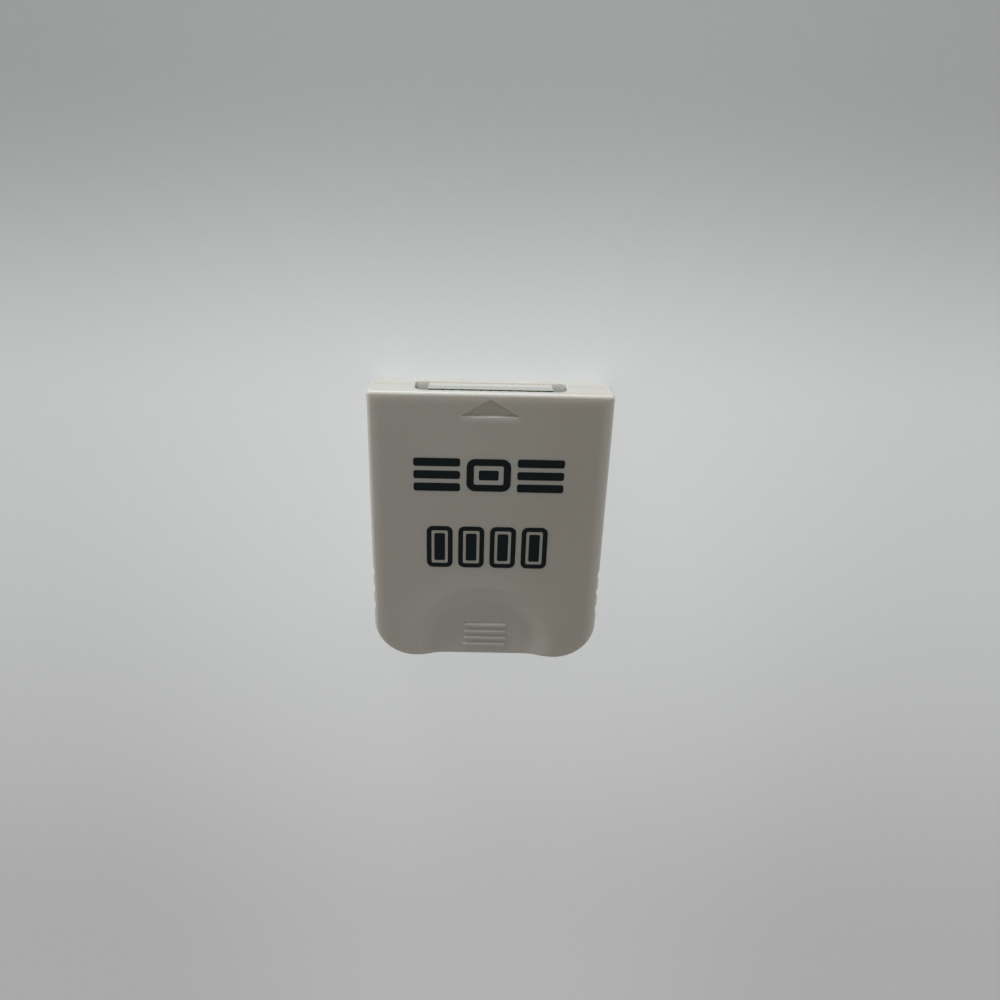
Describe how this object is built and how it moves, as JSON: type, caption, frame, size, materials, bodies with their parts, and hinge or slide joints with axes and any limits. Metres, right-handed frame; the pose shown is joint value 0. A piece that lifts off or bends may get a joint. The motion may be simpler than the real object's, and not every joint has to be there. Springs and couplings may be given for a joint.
{
  "type": "console memory card",
  "caption": "Flat moulded memory card with a connector slot in one end, recessed insertion arrow, thumb scoop with grip ribs and grooved sides, holding a circuit board with edge contacts.",
  "frame": {"origin": "middle of the back face, which the card lies on", "axes": "+Z out of the front face, +Y to the connector end, +X across the card"},
  "size_m": [0.041, 0.052, 0.008],
  "materials": {
    "case_plastic": "fine satin moulded off-white",
    "board_laminate": "green solder mask",
    "contact_gold": "gold plated",
    "package_epoxy": "moulded epoxy",
    "lead_tin": "tinned",
    "capacitor_ceramic": "fired, plated ends",
    "resistor_glaze": "glazed, plated ends",
    "screw_steel": "zinc plated"
  },
  "bodies": {
    "root": {"front_shell": "case_plastic", "rear_shell": "case_plastic", "circuit_board": "board_laminate", "edge_contacts": "contact_gold", "flash_memory_body": "package_epoxy", "flash_memory_leads": "lead_tin", "controller_body": "package_epoxy", "controller_leads": "lead_tin", "bulk_capacitor": "capacitor_ceramic", "resistor_network": "resistor_glaze", "supply_ferrite_bead": "resistor_glaze", "case_screws": "screw_steel", "decoupling_capacitor_1": "capacitor_ceramic", "pull_up_resistor_1": "resistor_glaze", "decoupling_capacitor_2": "capacitor_ceramic", "pull_up_resistor_2": "resistor_glaze", "decoupling_capacitor_3": "capacitor_ceramic", "pull_up_resistor_3": "resistor_glaze", "decoupling_capacitor_4": "capacitor_ceramic", "pull_up_resistor_4": "resistor_glaze"}
  },
  "joints": []
}
